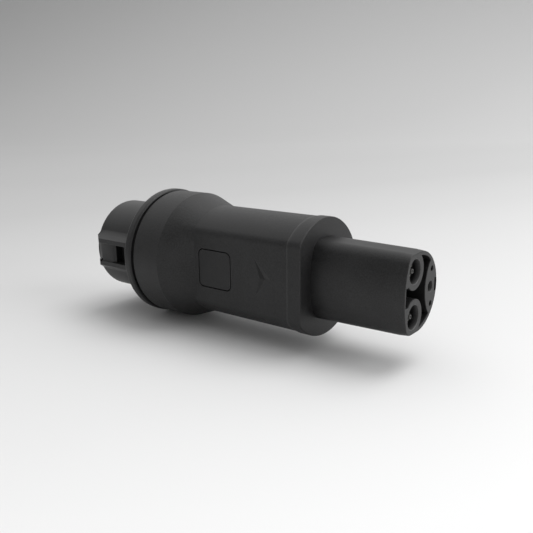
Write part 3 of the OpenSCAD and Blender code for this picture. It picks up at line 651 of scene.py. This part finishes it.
def makeButton():
    foot, rim, side = button["foot"], button["rim"], button["side"]
    wide = rim + button["gap"]
    heights = [(button["ceiling"], -side), (foot, -side), (foot, wide), (foot + rim, wide),
               (foot + rim, 0)] + softEnd(grip["flat"], 0, button["edge"])
    cap = loft("buttonCap", [plateRing(button["size"], z, grow) for z, grow in heights], "Z")
    radius, low, high = button["plunger"]
    pick()
    bpy.ops.mesh.primitive_cylinder_add(
        vertices=turnSteps["plunger"], radius=radius * mm, depth=(high - low) * mm,
        location=(stations["button"] * mm, 0, (high + low) / 2 * mm))
    plunger = bpy.context.object
    bpy.ops.object.transform_apply()
    combine(cap, plunger, "UNION")
    finish(cap, finishes["buttonPlastic"], "button", "grip_plastic", "button_cap")


def makeSpring():
    packed = nodes["button_spring"]
    spring = bpy.data.objects.new("buttonSpring", packed.data.copy())
    spring.data.transform(packed.matrix_world)
    bpy.context.collection.objects.link(spring)
    finish(spring, finishes["screwSteel"], "housing", "screw_steel", "button_spring")
    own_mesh(spring)


# Collar: covers the nose's base, with a lead-in at the seam and a soft end edge
collar = {"radius": 29.2, "flat": 21.85, "start": 133.11, "straight": 0.25, "lead": 135.1,
          "edge": 0.6, "frontEdge": 0.04, "wall": 2.8, "holeGrow": 1.3, "inside": 1.3}
# the nose's section at its tip, as arcs: round lower side, two upper corners, arched top
noseSection = [(0, -1.9, 18.4, 174, 366), (12.75, 4.7, 5.5, -10, 100),
               (-12.75, 4.7, 5.5, 80, 190), (0, -32.5, 45, 76.5, 103.5)]


def makeCollar():
    wide = bodyArcs(collar["radius"], collar["flat"], grip["corner"])
    face, start, inside = stations["face"], collar["start"], collar["inside"]
    back = face - collar["wall"]
    rings = sectionRings(bodySection, softStart(start, 0, collar["frontEdge"])
                         + [(start + collar["straight"], 0)])
    rings += sectionRings(wide, [(collar["lead"], 0)] + softEnd(face, 0, collar["edge"]))
    rings += sectionRings(noseSection, [(face, collar["holeGrow"]), (back, collar["holeGrow"])])
    rings += sectionRings(bodySection, [(back, -inside), (start, -inside)])
    cap = loft("collarCap", rings, closed=True)
    finish(cap, finishes["gripPlastic"], "housing", "grip_plastic", "collar_cap")


# Plug nose: drafted shell with towers, recess, contact block, stepped holes and keyway
nose = {"draft": 1.2, "lead": 0.45, "leadLength": 4.7, "edge": 0.45, "recess": 38, "wall": 1.8,
        "powerAt": (10.4, 3.0), "groundAt": (0, -13.5), "signalAt": (8.3, -14.4),
        "tower": 8.35, "towerEdge": 0.35, "block": (-26.5, 18.7), "slot": (9, -1, 11.3),
        "base": (1.4, 3), "lip": 0.5, "smallLip": 0.3,
        "power": (6.55, 5.6, 4.3), "ground": (3.6, 2.65, 3), "signal": (2.1, 1.3, 3),
        "retainerScrews": [(0, 8.5), (14.5, -7.5), (-14.5, -7.5)], "retainerHole": (1.1, 6.2),
        "baseScrews": [(14, 17.3), (-14, 17.3), (0, -24.6)], "baseHole": (1.6, 4),
        "keyway": (6.6, 12, -19.9, -17.7)}


# a contact's stepped hole, from the nose's base out through its tip
def contactHole(at, size, lip):
    outer, radius, depth = size
    base, tip = stations["base"] - clear, stations["tip"]
    return turn("hole", [(base, 0), (base, outer), (tip - depth, outer), (tip - depth, radius)]
                + softEnd(tip, radius, lip, 1) + [(tip + clear, radius + lip), (tip + clear, 0)],
                at, turnSteps["contact"])


# a round solid with a soft top edge that stands in the recess
def stander(at, radius, steps):
    tip, edge = stations["tip"], nose["towerEdge"]
    foot, top = tip - nose["recess"] - 2 * clear, tip + 3 * clear
    return turn("stander", [(foot, 0), (foot, radius)] + softEnd(tip, radius, edge)
                + [(top, radius - edge), (top, 0)], at, steps)


# what is hollow between the nose's walls, the towers and the contact block
def recessCutter():
    tip, wall, edge = stations["tip"], nose["wall"], nose["towerEdge"]
    low, (y, z) = tip - nose["recess"], nose["powerAt"]
    recess = loft("recess", sectionRings(noseSection, [(low, -wall)] + softEnd(tip, -wall, edge, 1)
                                         + [(tip + clear, -wall + edge)]))
    pick(recess)
    bpy.ops.object.mode_set(mode="EDIT")
    bpy.ops.mesh.select_all(action="SELECT")
    bpy.ops.mesh.bisect(plane_co=(0, 0, z * mm), plane_no=(0, 0, 1), use_fill=True,
                        clear_outer=True)
    bpy.ops.object.mode_set(mode="OBJECT")
    width, foot, top = nose["slot"]
    spots = [(low, 0)] + softEnd(tip, 0, edge, 1) + [(tip + clear, edge)]
    combine(recess, loft("slot", [acrossRing(x, width / 2 + grow, foot, top + grow)
                                  for x, grow in spots]), "UNION")
    for side in (1, -1):
        combine(recess, stander((side * y, z), nose["tower"], turnSteps["tower"]))
    height, radius = nose["block"]
    return combine(recess, stander((0, height), radius, turnSteps["block"]))


def makeNose():
    tip, face, base, edge = stations["tip"], stations["face"], stations["base"], nose["edge"]
    draft, lead, leadLength = nose["draft"], nose["lead"], nose["leadLength"]
    shell = loft("plugNose", sectionRings(noseSection, [
        (base + clear, draft), (face, draft), (tip - leadLength, lead)]
        + softEnd(tip, lead * edge / leadLength, edge)))
    inset, thick = nose["base"]
    foot = sectionRings(bodySection, [(base, -inset), (base + thick, -inset)])
    combine(shell, loft("base", foot), "UNION")
    combine(shell, recessCutter())
    width, length, low, high = nose["keyway"]
    cutters = [loft("keyway", [acrossRing(x, width / 2, low, high)
                               for x in (tip - length, tip + clear)])]
    y, z = nose["powerAt"]
    cutters += [contactHole((side * y, z), nose["power"], nose["lip"]) for side in (1, -1)]
    cutters.append(contactHole(nose["groundAt"], nose["ground"], nose["smallLip"]))
    y, z = nose["signalAt"]
    cutters += [contactHole((side * y, z), nose["signal"], nose["smallLip"]) for side in (1, -1)]
    for places, size in (("retainerScrews", "retainerHole"), ("baseScrews", "baseHole")):
        radius, depth = nose[size]
        cutters += [bore(at, radius, base - clear, base + depth) for at in nose[places]]
    combine(shell, together(*cutters))
    finish(shell, finishes["nosePlastic"], "housing", "nose_plastic", "plug_nose")


# Socket: barrel, cup, flange and spigot in one moulding, with the latch block on top
socket = {"barrel": 25.5, "cup": 22, "lip": 0.8, "flangeRadius": 35.13, "rim": 1.2,
          "spigot": 26.3, "spigotEdge": 0.4, "carrier": 20.2, "fillet": 0.5,
          "latchFoot": (23.4, 22.4), "latchBlend": (19, 24.8), "latchTop": (15.4, 28.6),
          "latchStart": (0.8, 5.03), "latchEdge": (0.45, 3, 30),
          "channel": 10.4, "channelDepth": 1, "channelSink": 0.4, "channelRamp": 5.6,
          "pocket": (17.5, 27, 22.4), "pocketRamp": (2, 0.01, 1.2), "pocketLean": 0.001,
          "notch": (4.2, 2.4), "notchSide": (-0.8, 1.2), "notchHeight": (-1.4, 1.6),
          "screwRadius": 30.125, "screwHole": (1.7, 3, 3.2, 0.25), "pinGap": 0.5, "pinLip": 0.2,
          "carrierScrews": (16.6, 1.1, 36)}
# where the pins pass through the cup's floor, and their radii
pins = [((7.9, 6.8), 1.8), ((-7.9, 6.8), 1.8), ((0, -10.6), 1.4), ((10.6, -5.6), 0.75),
        ((-10.6, -5.6), 0.75)]


# the latch block with its channel, as a solid of its own
def latchBlock():
    barrel, flange, channel = socket["barrel"], stations["flange"], socket["channel"] / 2
    footWidth, footZ = socket["latchFoot"]
    blendWidth, blendZ = socket["latchBlend"]
    topWidth, topZ = socket["latchTop"]
    start, rampEnd = socket["latchStart"]
    topAtStart = blendWidth + (topWidth - blendWidth) * (barrel - blendZ) / (topZ - blendZ)

    # the block's section: its foot, then up the right side and down the left
    def ring(x, width, z):
        side = [(footWidth / 2, footZ), (blendWidth / 2, blendZ), (width / 2, z)]
        return x, [(-y, z) for y, z in side[:1]] + side + [(-y, z) for y, z in side[:0:-1]]
    latch = loft("latch", [ring(start, topAtStart, barrel), ring(rampEnd, topWidth, topZ),
                           ring(flange + clear, topWidth, topZ)])
    low, floor = barrel - socket["channelSink"], topZ - socket["channelDepth"]
    spots = [(-clear, low), (start, low), (start + socket["channelRamp"], floor),
             (socket["pocket"][1], floor)]
    combine(latch, loft("channel", [acrossRing(x, channel, z, topZ + 2 * clear)
                                    for x, z in spots]))
    pick(latch)
    edge, segments, angle = socket["latchEdge"]
    modifier = latch.modifiers.new("soft", "BEVEL")
    modifier.width = edge * mm
    modifier.segments = segments
    modifier.limit_method = "ANGLE"
    modifier.angle_limit = math.radians(angle)
    bpy.ops.object.modifier_apply(modifier=modifier.name)
    return latch


# the latch block's pocket and the small notch in its side wall, each cut by itself
def cutPocket(body):
    channel, top = socket["channel"] / 2, socket["latchTop"][1]
    mouth = top - socket["channelDepth"]
    start, end, floor = socket["pocket"]
    ramp, above, drop = socket["pocketRamp"]
    spots = [(start - ramp, mouth + above), (start, mouth - drop),
             (start + socket["pocketLean"], floor), (end, floor)]
    combine(body, loft("pocket", [acrossRing(x, channel, z, top + 2 * clear) for x, z in spots]))
    notchX, length = socket["notch"]
    left, right = (side - channel for side in socket["notchSide"])
    low, high = (mouth + height for height in socket["notchHeight"])
    notch = [(left, low), (right, low), (right, high), (left, high)]
    combine(body, loft("notch", [(notchX, notch), (notchX + length, notch)]))


def makeSocket():
    cup, barrel, lip, rim = (socket[key] for key in ("cup", "barrel", "lip", "rim"))
    flange, back, fillet = stations["flange"], stations["gasket"], socket["fillet"]
    wide, spigot, carrier = (socket[key] for key in ("flangeRadius", "spigot", "carrier"))
    spigotEnd, spigotEdge = stations["spigot"], socket["spigotEdge"]
    floor, floorBack = stations["cupFloor"], stations["floorBack"]
    profile = softStart(0, cup, lip, 1)[::-1] + softStart(0, barrel, lip)
    profile += [(flange - fillet + aside, barrel + ahead) for ahead, aside in quarter(fillet)]
    profile += softStart(flange, wide, rim) + softEnd(back, wide, rim)
    profile += [(back, spigot), (spigotEnd - spigotEdge, spigot), (spigotEnd, spigot - spigotEdge),
                (spigotEnd, carrier), (floorBack, carrier), (floorBack, 0), (floor, 0),
                (floor, cup - fillet), (floor - fillet, cup)]
    body = turn("socketCup", profile)
    combine(body, latchBlock(), "UNION")
    cutPocket(body)
    cutters = []
    for at, pin in pins:
        inside = [(floorBack + clear, 0), (floorBack + clear, pin + socket["pinGap"])]
        cutters.append(lippedHole(at, inside, floor, socket["pinLip"]))
    out, radius, start = socket["carrierScrews"]
    cutters += [bore(at, radius, start, floorBack + clear) for at in around(3, out, 90)]
    shank, head, depth, headLip = socket["screwHole"]
    inside = [(back + clear, 0), (back + clear, shank), (flange + depth, shank),
              (flange + depth, head)]
    cutters += [lippedHole(at, inside, flange, headLip)
                for at in around(4, socket["screwRadius"], 45)]
    combine(body, together(*cutters))
    finish(body, finishes["socketPlastic"], "housing", "socket_plastic", "socket_cup")


# Flange gasket: a soft rubber ring between the flange and the grip, set back from both
gasket = {"outer": 33.35, "inner": 26.5, "edge": 0.2, "hole": 1.7}


def makeGasket():
    start, end = stations["gasket"], stations["grip"]
    outer, inner, edge = gasket["outer"], gasket["inner"], gasket["edge"]
    ring = turn("flangeGasket", [(start, inner)] + softStart(start, outer, edge)
                + softEnd(end, outer, edge) + [(end, inner)])
    holes = [bore(at, gasket["hole"], start - clear, end + clear)
             for at in around(4, socket["screwRadius"], 45)]
    combine(ring, together(*holes))
    finish(ring, finishes["gasketRubber"], "housing", "gasket_rubber", "flange_gasket")


# Power contacts: a crimp, a collar and a slit sleeve with a rolled mouth
contact = {"rod": 3.05, "crimp": (4.4, 118.6, 10), "collar": (7.45, 131.6), "radius": 6.45,
           "bore": 5.1, "front": 184.0, "boreLength": 32, "slit": (0.7, 18),
           "slitTurns": (0, 45, 90, 135), "peg": (1.55, 5)}


def makeContact(name, at, replaced):
    crimp, crimpStart, crimpLength = contact["crimp"]
    wide, back = contact["collar"]
    peg, pegDepth = contact["peg"]
    rod, radius, inside, front = (contact[key] for key in ("rod", "radius", "bore", "front"))
    base, floor = stations["base"], front - contact["boreLength"]
    roll = (radius - inside) / 2
    profile = [(crimpStart, rod), (crimpStart, crimp), (back, crimp), (back, wide), (base, wide),
               (base, radius)]
    profile += softEnd(front, radius, roll) + softEnd(front, inside, roll, 1)[::-1][1:]
    profile += [(floor, inside), (floor, peg), (floor - pegDepth, peg), (floor - pegDepth, 0),
                (crimpStart + crimpLength, 0), (crimpStart + crimpLength, rod)]
    piece = turn(name, profile, at, turnSteps["contact"])
    slitWidth, slitLength = contact["slit"]
    for angle in contact["slitTurns"]:
        pick()
        bpy.ops.mesh.primitive_cube_add(size=1)
        blade = bpy.context.object
        blade.scale = ((slitLength + 2 * clear) * mm, slitWidth * mm, 4 * radius * mm)
        blade.rotation_euler = (math.radians(angle), 0, 0)
        blade.location = Vector((front - slitLength / 2 + clear, *at)) * mm
        bpy.ops.object.transform_apply()
        combine(piece, blade)
    # the sleeve's dark metal is painted shade inside its hole
    finish(piece, finishes["shadedSleeveMetal"], "housing", "contact_metal", replaced)


# Guards: the grey posts in the power contacts, with a dimple in the narrowed tip
guard = {"radius": 1.8, "foot": 152, "peg": (1.5, 147.3), "tip": 187.0, "nose": 3,
         "narrow": 0.75, "edge": 0.2, "dimple": [(0, 0.75), (0.15, 0.65), (1.2, 0.4)]}


def makeGuard(name, at, replaced):
    radius, foot, tip = guard["radius"], guard["foot"], guard["tip"]
    peg, pegEnd = guard["peg"]
    profile = [(pegEnd, 0), (pegEnd, peg), (foot, peg), (foot, radius),
               (tip - guard["nose"], radius)]
    profile += softEnd(tip, radius - guard["narrow"], guard["edge"], steps=3)
    profile += [(tip - depth, size) for depth, size in guard["dimple"]]
    profile.append((profile[-1][0], 0))
    piece = turn(name, profile, at, turnSteps["guard"])
    finish(piece, finishes["guardPlastic"], "housing", "guard_plastic", replaced)


# Finishes first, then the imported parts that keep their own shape, then the pieces
finishes = {name: mouldedPlastic(name, look) for name, look in plastics.items()}
finishes.update({name: turnedMetal(name, look) for name, look in metals.items()})
finishes["guardPlastic"] = guardFinish()
finishes["boardGreen"] = boardFinish()
print("materials made:", ", ".join(sorted(finishes)))

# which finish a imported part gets: by its name, or else by its name's last word
nodeFinishes = {
    "pin_carrier": "innerPlastic", "conductor_spacer": "innerPlastic",
    "contact_retainer": "innerPlastic", "button_switch": "innerPlastic",
    "board_resistors": "innerPlastic", "flange_gasket": "gasketRubber",
    "nose_gasket": "gasketRubber", "circuit_board": "boardGreen",
    "socket_cup": "socketPlastic", "grip_shell": "gripPlastic", "button_cap": "buttonPlastic",
    "collar_cap": "gripPlastic", "plug_nose": "nosePlastic", "line_guard": "guardPlastic",
    "neutral_guard": "guardPlastic", "switch_leads": "copperMetal"}
lastWordFinishes = {"conductor": "copperMetal", "screws": "screwSteel", "spring": "screwSteel",
                    "pin": "contactMetal", "contact": "contactMetal"}
for name, node in nodes.items():
    finishName = nodeFinishes.get(name) or lastWordFinishes[name.split("_")[-1]]
    node.data.materials.clear()
    node.data.materials.append(finishes[finishName])

makeGrip()
makeButton()
makeSpring()
makeCollar()
makeNose()
makeSocket()
makeGasket()
y, z = nose["powerAt"]
makeContact("lineContact", (y, z), "line_contact")
makeContact("neutralContact", (-y, z), "neutral_contact")
makeGuard("lineGuard", (y, z), "line_guard")
makeGuard("neutralGuard", (-y, z), "neutral_guard")
print("pieces made")


# Studio: a pale floor under the flange and the collar, soft lights and an even sky
# the camera is fitted to the photograph, whose adapter lies on its side, so the floor faces along Y
# the floor is clear from behind, so that views through it still show the adapter
studio = {
    "cameraAt": (299.969, 81.70, 250.108), "cameraTurn": (-15.0585, 37.7953, -0.9329),
    "lens": 42.8315, "clip": (0.01, 20), "floorY": -35.25, "floorTurn": 38, "floorSize": 3000,
    "backdropRadius": 1200, "backdropTurn": 60, "backdropSteps": 24,
    "lights": {"overheadLight": ((0.22, 1, -0.38), 38, 1.15),
               "sideLight": ((0.9, 0.4, -0.3), 40, 1.0)},
    "glowFrom": (-0.3, 0.8, -0.45), "glow": (0.1, 0.95), "skyLow": 0.34, "skyHigh": 1.0,
    "floorToward": (-0.9, 0, -0.35), "floorSpan": (-0.25, 2.1),
    "floorAcross": (0.21, 0, -0.165), "floorLift": 1.04,
    # painted light on the floor: its tone from near to far
    "floorPaintedFalloff": [(0, 0.80), (0.043, 0.72), (0.106, 0.63), (0.162, 0.56), (0.255, 0.49),
                   (0.383, 0.46), (0.66, 0.45), (1, 0.48)],
    "floorGrain": 2.5, "floorRoughness": (0.85, 0.1)}


# paper with painted light: lighter near the adapter, darker with distance, and lighter to one side
def floorWithPaintedLight():
    made = Finish("floorWithPaintedLight", Specular_IOR_Level=0.2)

    def along(direction):
        return made.node("ShaderNodeVectorMath", {"operation": "DOT_PRODUCT"},
                         {0: made.place, 1: studio[direction]}, "Value")
    # painted light: the tone falls off with distance and rises to one side
    tone = made.node("ShaderNodeValToRGB", {
        "stops": [(at, (grey, grey, grey, 1)) for at, grey in studio["floorPaintedFalloff"]]},
        {0: made.step(along("floorToward"), *studio["floorSpan"])})
    tone = made.node("ShaderNodeVectorMath", {"operation": "SCALE"}, {
        0: tone, "Scale": along("floorAcross") + studio["floorLift"]})
    behind = made.node("ShaderNodeNewGeometry", {}, {}, "Backfacing")
    least, more = studio["floorRoughness"]
    roughness = least + made.noise(studio["floorGrain"]) * more
    return made.feed(Base_Color=tone, Roughness=roughness, Alpha=1 - behind)


def makeFloor():
    pick()
    size, radius = studio["floorSize"] * mm, studio["backdropRadius"] * mm
    bpy.ops.mesh.primitive_plane_add(size=size)
    floor = bpy.context.object
    floor.name = "studioFloor"
    for part in (floor.data.vertices, floor.data.edges, floor.data.polygons):
        part.foreach_set("select", [False] * len(part))
    for edge in floor.data.edges:
        edge.select = all(floor.data.vertices[number].co.y > 0 for number in edge.vertices)
    bpy.ops.object.mode_set(mode="EDIT")
    bpy.ops.mesh.select_mode(type="EDGE")
    bpy.ops.mesh.spin(steps=studio["backdropSteps"], angle=-math.radians(studio["backdropTurn"]),
                      center=(0, size / 2, radius), axis=(1, 0, 0))
    bpy.ops.mesh.select_mode(type="VERT")
    bpy.ops.mesh.select_all(action="SELECT")
    bpy.ops.mesh.remove_doubles(threshold=mm)
    bpy.ops.mesh.normals_make_consistent(inside=False)
    bpy.ops.object.mode_set(mode="OBJECT")
    bpy.ops.object.shade_smooth()
    floor.data.transform(Matrix.Translation((0, studio["floorY"] * mm, 0))
                         @ Matrix.Rotation(math.radians(studio["floorTurn"]), 4, "Y")
                         @ Matrix.Rotation(math.radians(-90), 4, "X"))
    if floor.data.polygons[0].normal.y < 0:
        floor.data.flip_normals()
    floor.data.materials.append(floorWithPaintedLight())


# an even sky that is brighter towards one side
def makeSky():
    world = bpy.data.worlds.new("studioSky")
    bpy.context.scene.world = world
    world.use_nodes = True
    skyNodes, links = world.node_tree.nodes, world.node_tree.links
    place = skyNodes.new("ShaderNodeTexCoord")
    toward = skyNodes.new("ShaderNodeVectorMath")
    toward.operation = "DOT_PRODUCT"
    toward.inputs[1].default_value = Vector(studio["glowFrom"]).normalized()
    glow = skyNodes.new("ShaderNodeMapRange")
    glow.interpolation_type = "SMOOTHSTEP"
    start, end = studio["glow"]
    for key, value in {"From Min": start, "From Max": end, "To Min": studio["skyLow"],
                       "To Max": studio["skyHigh"]}.items():
        glow.inputs[key].default_value = value
    links.new(place.outputs["Generated"], toward.inputs[0])
    links.new(toward.outputs["Value"], glow.inputs["Value"])
    links.new(glow.outputs[0], skyNodes["Background"].inputs["Strength"])
    skyNodes["Background"].inputs["Color"].default_value = (1, 1, 1, 1)


def makeStudio():
    makeFloor()
    makeSky()
    for name, (source, angle, power) in studio["lights"].items():
        bpy.ops.object.light_add(type="SUN")
        sun = bpy.context.object
        sun.name = name
        sun.data.energy = power
        sun.data.angle = math.radians(angle)
        sun.rotation_euler = Vector(source).to_track_quat("Z", "Y").to_euler()
    bpy.ops.object.camera_add(location=Vector(studio["cameraAt"]) * mm,
                              rotation=[math.radians(a) for a in studio["cameraTurn"]])
    camera = bpy.context.object
    camera.data.lens = studio["lens"]
    camera.data.clip_start, camera.data.clip_end = studio["clip"]
    bpy.context.scene.camera = camera
    bpy.context.scene.view_settings.view_transform = "Standard"


makeStudio()
